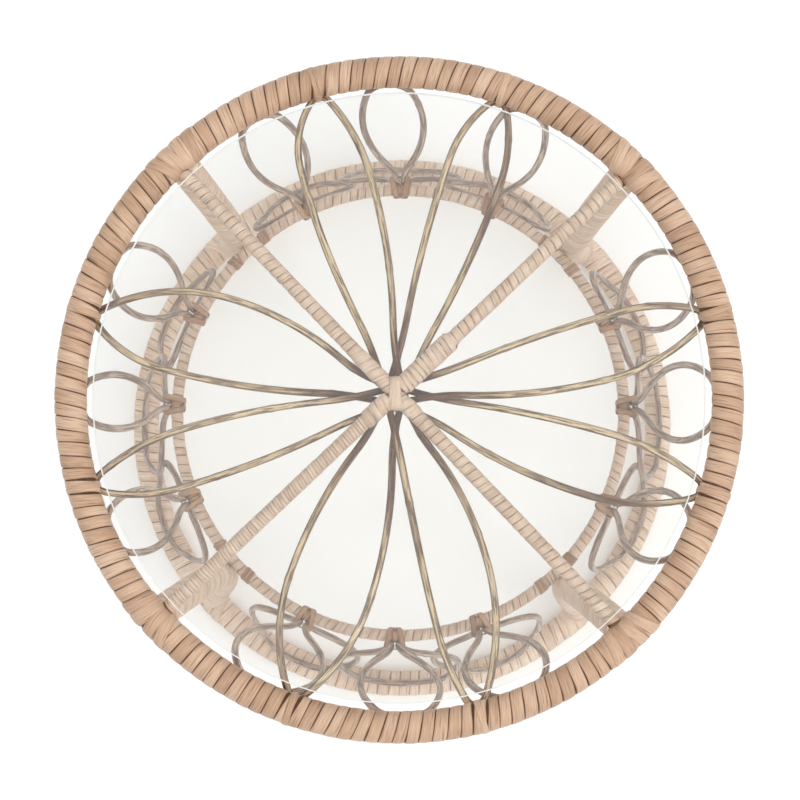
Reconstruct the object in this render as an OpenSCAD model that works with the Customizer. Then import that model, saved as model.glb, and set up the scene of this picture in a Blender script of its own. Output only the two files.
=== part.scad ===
// Round rattan side table: a waisted pole frame wrapped in cane peel, closed cane loops
// round its side and under its top, and a loose glass disc laid inside the top ring.
// Z is up, the floor is z = 0 and the origin is under the middle of the rings.

/* [Overall] */
// Outside diameter of the top and bottom rings, over their wrapping
ring_d = 600; // [560:5:640]
// Height from the floor to the top of the top ring
table_h = 450; // [430:5:470]
// Height of the waist ring above the floor
waist_h = 240; // [230:5:250]
// Distance from the table's axis to a leg's centreline at the waist
waist_leg_r = 240; // [236:1:244]

/* [Poles and wrapping] */
// Thickness of the rings and legs over their wrapping
pole_d = 28; // [26:0.5:30]
// Thickness of the cross poles over their wrapping
cross_d = 13; // [12:0.5:14]
// Thickness of the waist ring over its wrapping
waist_d = 12; // [10:0.5:13]
// Thickness of the layer of peel on a pole
wrap_t = 1.2; // [1:0.1:1.5]
// Thickness of the peel strips tied over joints
strip_t = 1; // [0.8:0.1:1.2]

/* [Canes] */
// Thickness of the loop canes
cane_d = 6.6; // [6:0.1:7]
// Sides of a cane's section
cane_sides = 8; // [6:1:10]

/* [Glass] */
// Diameter of the glass disc
glass_d = 530; // [520:1:534]
// Thickness of the glass disc
glass_t = 5; // [4:0.5:6]
// Width of the ground edge of the glass disc
glass_bevel = 0.8; // [0.4:0.1:1.2]

/* [Feet] */
// Diameter of a nail-on glide
glide_d = 18; // [14:1:22]
// Height of a glide below the bottom ring
glide_h = 2.5; // [2:0.5:4]

/* [Hidden] */
fine = 128;
fit = 0.1;
// The layer of peel stops this much short, across a diameter, where its pole meets another
cope_gap = 0.6;

// Legs, and the ends of the cross poles on the top ring, in degrees round the table
LEG_AZ = [44.4, 133.1, 222.3, 313.6];
CROSS_AZ = [44.2, 134, 222.9, 313.4];
// Side loops: azimuth at the waist, at the top ring and at the bottom ring, the half width
// above and below the waist, and whether the wide lower lobe laps over (1) or under (-1) the
// ones beside it. No two are alike, as each is bent by hand.
SIDE_LOOPS = [
  [114.8, 117.2, 114.2, 26, 58, -1], [90, 92, 90, 28, 62, 1], [66, 65.6, 65.2, 26, 60, -1],
  [23.1, 23.2, 24.4, 34, 60, -1], [1, -0.9, -0.7, 35, 62, 1], [-24.4, -26.8, -25.2, 33, 60, -1],
  [290.2, 292.7, 291.8, 36, 60, -1], [268.6, 271, 270, 36, 62, 1],
  [245.5, 244.5, 246.4, 41, 62, -1], [202.9, 205.8, 203.7, 28, 56, -1],
  [178.4, 180.8, 179.7, 25, 61, 1], [154.8, 154.6, 155.6, 31, 60, -1]
];
// Top loops, each two petals on opposite sides of the hub. A petal is its azimuth, then the
// half width and the distance from the hub at its widest, for its left and its right side.
TOP_LOOPS = [
  [[105.1, 31, 215, 28, 190], [284.3, 40, 165, 17, 215]],
  [[71.2, 25, 215, 25, 205], [250.9, 36, 180, 38, 180]],
  [[14.7, 22, 215, 33, 185], [196.4, 24, 205, 25, 190]],
  [[342.6, 24, 195, 34, 185], [165.2, 30, 205, 46, 165]]
];

pole_r = pole_d / 2;
cross_r = cross_d / 2;
waist_r = waist_d / 2;
cane_r = cane_d / 2;
ring_r = ring_d / 2 - pole_r;
top_z = table_h - pole_r;
foot_z = glide_h + pole_r;
mid_z = (top_z + foot_z) / 2;
leg_rise = (top_z - foot_z) / 2;
leg_bow = ring_r - waist_leg_r;
leg_bend_r = (leg_rise * leg_rise + leg_bow * leg_bow) / (2 * leg_bow);
leg_lean = asin(leg_rise / leg_bend_r);
// Radius of the waist ring's centreline, resting against the inside of the legs
waist_mid_r = waist_leg_r - pole_r - waist_r - 0.1
  + (leg_bend_r - sqrt(pow(leg_bend_r, 2) - pow(waist_h - mid_z, 2)));

// Cross poles: one runs through from leg 2 to leg 4, two half poles meet it at the hub
function on_ring(a, r) = [r * cos(a), r * sin(a)];
function across(p) = [-p[1], p[0]];
function meet(p, u, q, v) = p + u * ((q - p) * across(v)) / (u * across(v));
long_a = on_ring(CROSS_AZ[1], ring_r);
long_b = on_ring(CROSS_AZ[3], ring_r);
half_a = on_ring(CROSS_AZ[0], ring_r);
half_b = on_ring(CROSS_AZ[2], ring_r);
HUB = meet(long_a, long_b - long_a, half_a, half_b - half_a);
hub_strap_t = 0.6;
hub_strap_w = 9;
hub_strap_reach = 14;
glass_z = top_z + cross_r + hub_strap_t + 0.3;

// Top loops lie one under another below the cross poles, and rise to the top ring
layer_step = cane_d + 0.2;
layer_top = top_z - cross_r - hub_strap_t - cane_r - fit;
petal_len = ring_r - 9;
petal_tip_r = 9;
petal_tip_z = top_z - sqrt(pow(pole_r + cane_r + fit, 2) - pow(ring_r - petal_len, 2));
petal_gap = 8;
petal_flat = 60;
petal_rise_end = 240;

// Side loops stand on the outside of the waist ring, and their ends lie against the rings
neck_r = waist_mid_r + waist_r + cane_r + fit;
neck_gap = cane_r + fit;
neck_len = 5;
side_reach = pole_r + cane_r + fit;
upper_tip_angle = 20;
lower_tip_angle = 3;
upper_tip = [ring_r - side_reach * sin(upper_tip_angle), top_z - side_reach * cos(upper_tip_angle)];
lower_tip = [ring_r - side_reach * sin(lower_tip_angle), foot_z + side_reach * cos(lower_tip_angle)];
side_bend = 24;
upper_widest = 0.64;
lower_widest = 0.55;
flare_share = 0.3;
lap = cane_r + 0.4;
lap_start = 50;
lap_end = 35;

// ---- Canes: a closed tube swept along points by rule --------------------------------------

// One side of a loop's lobe, as [distance along, distance across]: out from the neck with a
// flare, round a long belly, a tighter shoulder and a round end
function lobe_side(len, neck, y0, widest, half_w, end_r, flare = flare_share) =
  let (turn = 2 * atan((half_w - y0) / (widest - neck)),
       both_r = (widest - neck) / sin(turn),
       flare_r = flare * both_r,
       belly_r = both_r - flare_r,
       run = len - end_r - widest,
       shoulder_r = (run * run + half_w * half_w - end_r * end_r) / (2 * (half_w - end_r)),
       shoulder = atan2(run, shoulder_r - half_w))
  concat(
    [for (i = [0:3]) let (t = turn * i / 3)
      [neck + flare_r * sin(t), y0 + flare_r * (1 - cos(t))]],
    [for (i = [1:4]) let (t = turn * (1 - i / 4))
      [widest - belly_r * sin(t), half_w - belly_r * (1 - cos(t))]],
    [for (i = [1:3]) let (t = shoulder * i / 3)
      [widest + shoulder_r * sin(t), half_w - shoulder_r * (1 - cos(t))]],
    [for (i = [1:2]) let (t = shoulder + (90 - shoulder) * i / 3)
      [len - end_r + end_r * sin(t), end_r * cos(t)]]
  );

function backwards(list) = [for (i = [len(list) - 1:-1:0]) list[i]];
function flip_y(list) = [for (p = list) [p[0], -p[1]]];
// A whole lobe: up its left side, round the end and back down its right side
function lobe(left, right, length) =
  concat(left, [[length, 0]], backwards(flip_y(right)));

function unit(v) = v / norm(v);

// A closed tube through points, with its section set by a direction that it never runs along
module closed_tube(points, r, sides, aim) {
  n = len(points);
  rings = [
    for (i = [0:n - 1])
      let (t = unit(points[(i + 1) % n] - points[(i + n - 1) % n]),
           side = unit(cross(t, aim)),
           up = cross(side, t))
        for (j = [0:sides - 1])
          let (a = 360 * (j + 0.5) / sides) points[i] + r * (cos(a) * side + sin(a) * up)
  ];
  at = function(i, j) (i % n) * sides + j % sides;
  faces = [
    for (i = [0:n - 1], j = [0:sides - 1])
      each [[at(i, j), at(i + 1, j), at(i + 1, j + 1)], [at(i, j), at(i + 1, j + 1), at(i, j + 1)]]
  ];
  polyhedron(points = rings, faces = faces, convexity = 6);
}

// ---- Top loops ----------------------------------------------------------------------------

function ease(t) = let (c = min(max(t, 0), 1)) c * c * (3 - 2 * c);

// A petal's points round the table, from the hub out and back
function petal_points(petal, layer_z) =
  let (tip = on_ring(petal[0], petal_len),
       reach = norm(tip - HUB),
       u = (tip - HUB) / reach,
       left = lobe_side(reach, 6, petal_gap, petal[2], petal[1], petal_tip_r),
       right = lobe_side(reach, 6, petal_gap, petal[4], petal[3], petal_tip_r))
  [
    for (p = lobe(left, right, reach))
      let (q = HUB + p[0] * u + p[1] * across(u),
           rise = ease((p[0] - petal_flat) / (petal_rise_end - petal_flat)))
        [q[0], q[1], layer_z + (petal_tip_z - layer_z) * rise]
  ];

module top_loop(i)
  color("darkkhaki")
    closed_tube(
      concat(
        petal_points(TOP_LOOPS[i][0], layer_top - i * layer_step),
        petal_points(TOP_LOOPS[i][1], layer_top - i * layer_step)
      ), cane_r, cane_sides, [0, 0, 1]);

// ---- Side loops ---------------------------------------------------------------------------

// Points of one lobe that stands on the waist ring: it leaves upright and leans out to a ring
function side_lobe_points(waist_az, tip_az, half_w, tip, widest, end_share, side_lap) =
  let (rise = tip[1] - waist_h,
       run = tip[0] - neck_r,
       length = norm([rise, run]),
       slope = run / (length - side_bend / 2),
       end_r = end_share * half_w,
       side = lobe_side(length, neck_len, neck_gap, widest * length, half_w, end_r))
  [
    for (p = lobe(side, side, length))
      let (s = p[0],
           lean = s < side_bend ? slope * s * s / (2 * side_bend) : slope * (s - side_bend / 2),
           r = neck_r + lean,
           a = waist_az + (tip_az - waist_az) * s / length + p[1] / r * 180 / PI,
           lapped_r = r + side_lap * ease(s / lap_start) * ease((length - s) / lap_end),
           q = on_ring(a, lapped_r))
        [q[0], q[1], waist_h + rise * s / length]
  ];

// A closed cane pinched at the waist ring: the lower lobe is walked the other way round
module side_loop(i) {
  loop = SIDE_LOOPS[i];
  upper = side_lobe_points(loop[0], loop[1], loop[3], upper_tip, upper_widest, 0.75, 0);
  lower = side_lobe_points(loop[0], loop[2], loop[4], lower_tip, lower_widest, 0.75, lap * loop[5]);
  color("rosybrown")
    closed_tube(concat(upper, backwards(lower)), cane_r, cane_sides, [cos(loop[0]), sin(loop[0]), 0]);
}

// ---- Rings, legs and cross poles ----------------------------------------------------------

module ring_solid(r, z, d)
  translate([0, 0, z]) rotate_extrude($fn = fine) translate([r, 0]) circle(d = d, $fn = 48);

module ring_sleeve(r, z, d, wall)
  translate([0, 0, z]) rotate_extrude($fn = fine) translate([r, 0])
    difference() {
      circle(d = d, $fn = 48);
      circle(d = d - 2 * wall, $fn = 48);
    }

module both_rings(d) {
  ring_solid(ring_r, top_z, d);
  ring_solid(ring_r, foot_z, d);
}

module top_ring_pole() color("tan") ring_solid(ring_r, top_z, pole_d - 2 * wrap_t);
module top_ring_wrap() color("burlywood") ring_sleeve(ring_r, top_z, pole_d, wrap_t);
module bottom_ring_pole() color("tan") ring_solid(ring_r, foot_z, pole_d - 2 * wrap_t);
module bottom_ring_wrap() color("burlywood") ring_sleeve(ring_r, foot_z, pole_d, wrap_t);
module waist_ring_cane() color("tan") ring_solid(waist_mid_r, waist_h, waist_d - 2 * wrap_t);
module waist_ring_wrap() color("burlywood") ring_sleeve(waist_mid_r, waist_h, waist_d, wrap_t);

// A leg is one even bow from ring to ring, closest to the axis halfway up
module leg_bow_shape(a)
  rotate([0, 0, a]) translate([waist_leg_r + leg_bend_r, 0, mid_z]) rotate([90, 0, 0])
    rotate([0, 0, 180 - leg_lean]) rotate_extrude(angle = 2 * leg_lean, $fn = 360)
      translate([leg_bend_r, 0]) children();

// Room above a leg's inner edge for the end of the cross pole that meets the ring there
module cross_pole_room(a)
  rotate([0, 0, a]) translate([ring_r - 2 * pole_d, -pole_d, top_z - cross_r - fit])
    cube([2 * pole_d - 11, 2 * pole_d, pole_d]);

module leg_pole(i)
  color("tan") difference() {
    leg_bow_shape(LEG_AZ[i]) circle(d = pole_d - 2 * wrap_t, $fn = 48);
    both_rings(pole_d);
    cross_pole_room(LEG_AZ[i]);
  }

module leg_wrap(i)
  color("burlywood") difference() {
    leg_bow_shape(LEG_AZ[i]) difference() {
      circle(d = pole_d, $fn = 48);
      circle(d = pole_d - 2 * wrap_t, $fn = 48);
    }
    both_rings(pole_d + cope_gap);
    cross_pole_room(LEG_AZ[i]);
  }

// A straight pole from one point to another at the height of the top ring
module run_between(p, q, d) {
  way = q - p;
  translate([p[0], p[1], top_z]) rotate([0, 0, atan2(way[1], way[0])]) rotate([0, 90, 0])
    cylinder(d = d, h = norm(way), $fn = 64);
}

module long_cross_pole()
  color("tan") difference() {
    run_between(long_a, long_b, cross_d - 2 * wrap_t);
    ring_solid(ring_r, top_z, pole_d);
  }

module long_cross_wrap()
  color("burlywood") difference() {
    run_between(long_a, long_b, cross_d);
    run_between(long_a, long_b, cross_d - 2 * wrap_t);
    ring_solid(ring_r, top_z, pole_d);
  }

module half_cross_pole(end)
  color("tan") difference() {
    run_between(end, HUB, cross_d - 2 * wrap_t);
    run_between(long_a, long_b, cross_d);
    ring_solid(ring_r, top_z, pole_d);
  }

module half_cross_wrap(end)
  color("burlywood") difference() {
    run_between(end, HUB, cross_d);
    run_between(end, HUB, cross_d - 2 * wrap_t);
    run_between(long_a, long_b, cross_d + cope_gap);
    ring_solid(ring_r, top_z, pole_d);
  }

// ---- Bindings of peel ---------------------------------------------------------------------

// A strip round the crossing of the poles and the canes that pass under it
module hub_binding() {
  top = top_z + cross_r + fit / 2;
  bottom = layer_top - 3 * layer_step - cane_r - fit;
  height = top - bottom;
  width = 2 * hub_strap_reach;
  color("wheat")
    difference() {
      translate([HUB[0] - hub_strap_w / 2, HUB[1], (top + bottom) / 2]) rotate([90, 0, 90])
        linear_extrude(hub_strap_w) difference() {
          square([width + 2 * hub_strap_t, height + 2 * hub_strap_t - fit], center = true);
          square([width, height - fit], center = true);
        }
      for (i = [0, 1], petal = TOP_LOOPS[i], side = [-1, 1])
        translate([HUB[0], HUB[1], layer_top - i * layer_step]) rotate([0, 0, petal[0]])
          translate([0, side * petal_gap, 0]) rotate([0, 90, 0])
            cylinder(r = cane_r + 0.5, h = 2 * width, $fn = 32);
    }
}

// A strip at each side loop's neck, round the waist ring and the two canes beside it
module waist_ties() {
  tie_w = 16;
  cane_room = 0.6;
  outer = waist_r + strip_t;
  cane_out = neck_r - waist_mid_r + cane_r + cane_room;
  color("sienna")
    for (loop = SIDE_LOOPS)
      difference() {
        rotate([0, 0, loop[0]]) translate([waist_mid_r, 0, waist_h]) rotate([90, 0, 0])
          linear_extrude(tie_w, center = true) difference() {
            union() {
              circle(r = outer, $fn = 48);
              translate([0, -outer]) square([cane_out + strip_t, 2 * outer]);
            }
            circle(r = waist_r + fit, $fn = 48);
            translate([0, -waist_r]) square([cane_out, 2 * waist_r]);
          }
        rotate([0, 0, loop[0]])
          for (side = [-1, 1])
            translate([neck_r, side * neck_gap, waist_h - pole_r])
              cylinder(r = cane_r + cane_room, h = pole_d, $fn = 32);
      }
}

// Short dark strips round the waist ring on each side of a leg
module leg_waist_ties() {
  gap_angle = 5;
  tie_angle = 2.4;
  color("sienna")
    for (a = LEG_AZ, side = [-1, 1])
      rotate([0, 0, a + side * gap_angle - tie_angle / 2]) translate([0, 0, waist_h])
        rotate_extrude(angle = tie_angle, $fn = fine) translate([waist_mid_r, 0]) difference() {
          circle(r = waist_r + strip_t, $fn = 48);
          circle(r = waist_r + fit, $fn = 48);
        }
}

// A strip round the top ring and the end of each petal
module petal_ties() {
  module bent_end(r)
    for (back = [0, bend]) {
      translate([-tip_x - back, tip_y]) circle(r = r, $fn = 32);
      if (back > 0) translate([-tip_x - back, tip_y - r]) square([back, 2 * r]);
    }
  tie_w = 9;
  tip_y = petal_tip_z - top_z;
  tip_x = ring_r - petal_len;
  // The petal's end curves back by this much across the strip
  bend = petal_tip_r - sqrt(pow(petal_tip_r, 2) - pow(tie_w / 2 + cane_r / 2, 2));
  color("saddlebrown")
    for (top_loop = TOP_LOOPS, petal = top_loop)
      rotate([0, 0, petal[0]]) translate([ring_r, 0, top_z]) rotate([90, 0, 0])
        linear_extrude(tie_w, center = true) difference() {
          union() {
            circle(r = pole_r + strip_t, $fn = 64);
            bent_end(cane_r + strip_t + 2 * fit);
          }
          circle(r = pole_r + fit, $fn = 64);
          bent_end(cane_r + 2 * fit);
        }
}

// A second layer of peel over the far side of a ring from each leg. "down" is 1 at the feet.
module joint_bindings(z, down) {
  binding_angle = 6.4;
  for (a = LEG_AZ)
    rotate([0, 0, a - binding_angle / 2]) translate([0, 0, z])
      rotate_extrude(angle = binding_angle, $fn = fine) translate([ring_r, 0]) mirror([0, down])
        intersection() {
          difference() {
            circle(r = pole_r + strip_t, $fn = 64);
            circle(r = pole_r + fit, $fn = 64);
          }
          rotate(-leg_lean) translate([-pole_d, 1]) square([2 * pole_d, pole_d]);
        }
}

module leg_top_bindings() color("peru") joint_bindings(top_z, 0);
module leg_foot_bindings() color("peru") joint_bindings(foot_z, 1);

// ---- Glass --------------------------------------------------------------------------------

module glass_top() {
  r = glass_d / 2;
  b = glass_bevel;
  color("azure", 0.4)
    translate([0, 0, glass_z]) rotate_extrude($fn = fine)
      polygon([[0, 0], [r - b, 0], [r, b], [r, glass_t - b], [r - b, glass_t], [0, glass_t]]);
}

// ---- Fasteners and feet -------------------------------------------------------------------

// A nail or screw along +Z with its head's flat at the origin and its body below
module fastener(body_d, head_d, head_t, length) {
  translate([0, 0, -head_t]) cylinder(d = head_d, h = head_t, $fn = 24);
  translate([0, 0, -length]) cylinder(d = body_d, h = length - head_t / 2, $fn = 24);
}

// Screws through a ring into the end grain of each leg
module leg_screws()
  color("dimgray")
    for (a = LEG_AZ, end = [[top_z, leg_lean], [foot_z, 180 - leg_lean]])
      rotate([0, 0, a]) translate([ring_r, 0, end[0]]) rotate([0, end[1], 0])
        translate([0, 0, pole_r - wrap_t - 2]) fastener(4, 8, 3, 55);

// Screws through the waist ring into each leg
module waist_screws()
  color("dimgray")
    for (a = LEG_AZ)
      rotate([0, 0, a]) translate([waist_mid_r - waist_r + wrap_t, 0, waist_h])
        rotate([0, -90, 0]) fastener(2.5, 5, 1.5, 26);

// Nails through the top ring into the ends of the cross poles, beside the leg screws
module cross_pole_nails() {
  aside = 3.4;
  color("dimgray")
    for (nail = [[long_a, aside], [long_b, -aside], [half_a, -aside], [half_b, aside]])
      translate([nail[0][0], nail[0][1], top_z])
        rotate([0, 0, atan2(nail[0][1] - HUB[1], nail[0][0] - HUB[0])]) rotate([0, 90, 0])
          translate([0, nail[1], pole_r - wrap_t - 1.6]) fastener(2, 5, 1.2, 55);
}

// Brads through the ends of the side loops into the rings
module side_loop_brads()
  color("dimgray")
    for (loop = SIDE_LOOPS) {
      rotate([0, 0, loop[1]]) translate([upper_tip[0], 0, upper_tip[1]])
        rotate([0, 180 + upper_tip_angle, 0]) translate([0, 0, cane_r]) fastener(1.4, 3, 0.8, 18);
      rotate([0, 0, loop[2]]) translate([lower_tip[0], 0, lower_tip[1]])
        rotate([0, -lower_tip_angle, 0]) translate([0, 0, cane_r]) fastener(1.4, 3, 0.8, 18);
    }

module at_glides()
  for (a = LEG_AZ)
    rotate([0, 0, a + 12]) translate([ring_r, 0, 0]) children();

// Nail-on glides under the bottom ring, hollowed to its round
module floor_glides()
  color("whitesmoke")
    difference() {
      at_glides() cylinder(d = glide_d, h = glide_h + 3, $fn = 48);
      ring_solid(ring_r, foot_z, pole_d);
      at_glides() translate([0, 0, -1]) cylinder(d = 5, h = 2.5, $fn = 32);
      at_glides() cylinder(d = 1.8, h = glide_h + 3, $fn = 24);
    }

module glide_nails()
  color("silver")
    at_glides() translate([0, 0, 0.6]) rotate([180, 0, 0]) fastener(1.8, 4.6, 0.9, 16);

glass_top();
top_ring_pole();
top_ring_wrap();
waist_ring_cane();
waist_ring_wrap();
bottom_ring_pole();
bottom_ring_wrap();
leg_pole(0);  // leg_pole_1
leg_pole(1);  // leg_pole_2
leg_pole(2);  // leg_pole_3
leg_pole(3);  // leg_pole_4
leg_wrap(0);  // leg_wrap_1
leg_wrap(1);  // leg_wrap_2
leg_wrap(2);  // leg_wrap_3
leg_wrap(3);  // leg_wrap_4
long_cross_pole();
long_cross_wrap();
half_cross_pole(half_a);  // half_cross_pole_1
half_cross_pole(half_b);  // half_cross_pole_2
half_cross_wrap(half_a);  // half_cross_wrap_1
half_cross_wrap(half_b);  // half_cross_wrap_2
hub_binding();
top_loop(0);  // top_loop_1
top_loop(1);  // top_loop_2
top_loop(2);  // top_loop_3
top_loop(3);  // top_loop_4
side_loop(0);  // side_loop_01
side_loop(1);  // side_loop_02
side_loop(2);  // side_loop_03
side_loop(3);  // side_loop_04
side_loop(4);  // side_loop_05
side_loop(5);  // side_loop_06
side_loop(6);  // side_loop_07
side_loop(7);  // side_loop_08
side_loop(8);  // side_loop_09
side_loop(9);  // side_loop_10
side_loop(10);  // side_loop_11
side_loop(11);  // side_loop_12
waist_ties();
leg_waist_ties();
petal_ties();
leg_top_bindings();
leg_foot_bindings();
leg_screws();
waist_screws();
cross_pole_nails();
side_loop_brads();
floor_glides();
glide_nails();
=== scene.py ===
"""Round rattan side table with a loose glass top: the finished look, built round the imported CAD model."""

import math
import random

import bpy
import numpy as np
from mathutils import Matrix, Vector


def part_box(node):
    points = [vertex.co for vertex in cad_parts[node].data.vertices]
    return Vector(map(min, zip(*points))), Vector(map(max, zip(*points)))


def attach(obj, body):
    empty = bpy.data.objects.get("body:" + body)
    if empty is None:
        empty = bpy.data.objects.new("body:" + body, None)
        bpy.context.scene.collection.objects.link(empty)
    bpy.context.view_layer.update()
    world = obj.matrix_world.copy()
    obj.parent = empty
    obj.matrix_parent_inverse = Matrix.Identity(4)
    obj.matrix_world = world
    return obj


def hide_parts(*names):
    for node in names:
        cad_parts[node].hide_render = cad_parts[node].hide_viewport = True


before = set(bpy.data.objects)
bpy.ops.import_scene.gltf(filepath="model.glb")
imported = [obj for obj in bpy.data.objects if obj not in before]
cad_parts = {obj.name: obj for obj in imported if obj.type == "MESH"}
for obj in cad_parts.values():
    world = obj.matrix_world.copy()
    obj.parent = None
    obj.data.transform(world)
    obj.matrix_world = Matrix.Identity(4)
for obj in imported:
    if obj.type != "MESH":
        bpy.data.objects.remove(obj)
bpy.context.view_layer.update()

# ---- Sizes, read from the CAD nodes ---------------------------------------------------------

MM = 0.001


def half_height(node):
    """Half a node's height, which is the radius of a level pole or ring."""
    low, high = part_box(node)
    return (high[2] - low[2]) / 2


def ring_sizes(node):
    """(centreline radius, height, tube radius) of a ring node."""
    low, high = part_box(node)
    tube = half_height(node)
    return high[0] - tube, (high[2] + low[2]) / 2, tube


RING_R, TOP_Z, POLE_R = ring_sizes("top_ring_wrap")
FOOT_Z = ring_sizes("bottom_ring_wrap")[1]
WAIST_R, WAIST_Z, WAIST_TUBE = ring_sizes("waist_ring_wrap")
CORE_R = half_height("top_ring_pole")
WAIST_CORE_R = half_height("waist_ring_cane")
CROSS_CORE_R = half_height("long_cross_pole")
CROSS_R = half_height("long_cross_wrap")
GLASS_LOW, GLASS_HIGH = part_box("glass_top")

# Azimuths, in degrees, of the legs and of the cross poles' ends
LEG_AZ = [44.4, 133.1, 222.3, 313.6]
CROSS_AZ = [44.2, 134, 222.9, 313.4]
# Distance of the legs' centrelines from the table's axis at mid height
LEG_WAIST_R = 240 * MM
CANE_R = 3.3 * MM
# Thickness of the strips of peel that tie and bind
STRIP_T = 1 * MM
# Clearance between a cane and the pole or ring that it lies against
FIT = 0.1 * MM

# Side loops: azimuth at the waist, at the top ring and at the bottom ring, the half width in mm
# above and below the waist, and whether the lower lobe laps over (1) or under (-1) its neighbours
SIDE_LOOPS = [
    [114.8, 117.2, 114.2, 26, 58, -1],
    [90, 92, 90, 28, 62, 1],
    [66, 65.6, 65.2, 26, 60, -1],
    [23.1, 23.2, 24.4, 34, 60, -1],
    [1, -0.9, -0.7, 35, 62, 1],
    [-24.4, -26.8, -25.2, 33, 60, -1],
    [290.2, 292.7, 291.8, 36, 60, -1],
    [268.6, 271, 270, 36, 62, 1],
    [245.5, 244.5, 246.4, 41, 62, -1],
    [202.9, 205.8, 203.7, 28, 56, -1],
    [178.4, 180.8, 179.7, 25, 61, 1],
    [154.8, 154.6, 155.6, 31, 60, -1],
]
# Petals of each top loop: azimuth, then half width and place of the widest, left and right, in mm
TOP_LOOPS = [
    [[105.1, 31, 215, 28, 190], [284.3, 40, 165, 17, 215]],
    [[71.2, 25, 215, 25, 205], [250.9, 36, 180, 38, 180]],
    [[14.7, 22, 215, 33, 185], [196.4, 24, 205, 25, 190]],
    [[342.6, 24, 195, 34, 185], [165.2, 30, 205, 46, 165]],
]

# ---- Small vector helpers -------------------------------------------------------------------


def spot(azimuth, radius, z=0.0):
    """The point at an azimuth in degrees, a distance from the table's axis and a height."""
    a = math.radians(azimuth)
    return np.array([radius * math.cos(a), radius * math.sin(a), z])


def ease(t):
    """0 to 1 with level ends."""
    c = np.clip(t, 0, 1)
    return c * c * (3 - 2 * c)


def unit(v):
    """Each vector at length 1."""
    return v / np.maximum(np.linalg.norm(v, axis=-1, keepdims=True), 1e-12)


def meeting(p, u, q, v):
    """Where two level lines cross."""
    w = np.array([-v[1], v[0]])
    return p + u * (np.dot((q - p)[:2], w) / np.dot(u[:2], w))


CROSS_ENDS = [spot(a, RING_R, TOP_Z) for a in CROSS_AZ]
HUB = meeting(
    CROSS_ENDS[1],
    CROSS_ENDS[3] - CROSS_ENDS[1],
    CROSS_ENDS[0],
    CROSS_ENDS[2] - CROSS_ENDS[0],
)


class Route:
    """A smooth line through points, with a side and an up direction at every place along it."""

    def __init__(self, points, aim=(0, 0, 1), closed=False):
        p = np.array(points, float)
        if closed:
            p = np.vstack([p, p[:1]])
        steps = np.linalg.norm(np.diff(p, axis=0), axis=1)
        self.closed = closed
        self.s = np.concatenate([[0], np.cumsum(steps)])
        self.length = self.s[-1]
        ahead, behind = np.roll(p, -1, axis=0), np.roll(p, 1, axis=0)
        if closed:
            ahead[-1], behind[0] = p[1], p[-2]
        else:
            ahead[-1], behind[0] = p[-1], p[0]
        tangent = unit(ahead - behind)
        side = unit(np.cross(tangent, np.broadcast_to(aim, p.shape)))
        self.columns = np.hstack([p, side, np.cross(side, tangent)])

    def at(self, s):
        """Points, side directions and up directions at distances s along the line."""
        s = np.mod(s, self.length) if self.closed else np.clip(s, 0, self.length)
        c = np.stack([np.interp(s, self.s, col) for col in self.columns.T], axis=-1)
        return c[..., :3], unit(c[..., 3:6]), unit(c[..., 6:])


# ---- Materials ------------------------------------------------------------------------------


class Shader:
    """Shorthand for building one material's node tree."""

    def __init__(self, name):
        self.material = bpy.data.materials.new(name)
        self.material.use_nodes = True
        self.tree = self.material.node_tree
        self.tree.nodes.clear()
        self.out = self.node("ShaderNodeOutputMaterial")
        self.base = self.node("ShaderNodeBsdfPrincipled")
        self.link(self.base.outputs["BSDF"], self.out.inputs["Surface"])

    def node(self, kind, **settings):
        n = self.tree.nodes.new(kind)
        for key, value in settings.items():
            setattr(n, key, value)
        return n

    def link(self, a, b):
        self.tree.links.new(a, b)

    def math(self, operation, a, b=0.5, clamp=False):
        n = self.node("ShaderNodeMath", operation=operation, use_clamp=clamp)
        for socket, value in zip(n.inputs, (a, b)):
            if isinstance(value, (int, float)):
                socket.default_value = value
            else:
                self.link(value, socket)
        return n.outputs[0]

    def scaled(self, vector, scale):
        n = self.node("ShaderNodeVectorMath", operation="MULTIPLY")
        self.link(vector, n.inputs[0])
        n.inputs[1].default_value = scale
        return n.outputs[0]

    def noise(self, vector, scale, detail=2.0, roughness=0.5):
        n = self.node("ShaderNodeTexNoise")
        self.link(self.scaled(vector, scale), n.inputs["Vector"])
        n.inputs["Scale"].default_value = 1.0
        n.inputs["Detail"].default_value = detail
        n.inputs["Roughness"].default_value = roughness
        return n.outputs["Fac"]

    def ramp(self, fac, stops):
        n = self.node("ShaderNodeValToRGB")
        while len(n.color_ramp.elements) < len(stops):
            n.color_ramp.elements.new(0.5)
        for element, (place, colour) in zip(n.color_ramp.elements, stops):
            element.position = place
            element.color = linear(colour)
        self.link(fac, n.inputs["Fac"])
        return n.outputs["Color"]

    def mix(self, fac, a, b, blend="MIX"):
        n = self.node("ShaderNodeMix", data_type="RGBA", blend_type=blend)
        for socket, value in ((n.inputs[0], fac), (n.inputs[6], a), (n.inputs[7], b)):
            if isinstance(value, (int, float)):
                socket.default_value = value
            elif isinstance(value, tuple):
                socket.default_value = linear(value)
            else:
                self.link(value, socket)
        return n.outputs[2]

    def bump(self, height, distance):
        n = self.node("ShaderNodeBump")
        n.inputs["Strength"].default_value = 1.0
        n.inputs["Distance"].default_value = distance
        self.link(height, n.inputs["Height"])
        self.link(n.outputs["Normal"], self.base.inputs["Normal"])


def linear(colour):
    """An sRGB colour of three parts from 0 to 255, as the linear colour that a shader takes."""
    out = []
    for part in colour[:3]:
        c = part / 255
        out.append(c / 12.92 if c <= 0.04045 else ((c + 0.055) / 1.055) ** 2.4)
    return (*out, 1.0)


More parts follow.
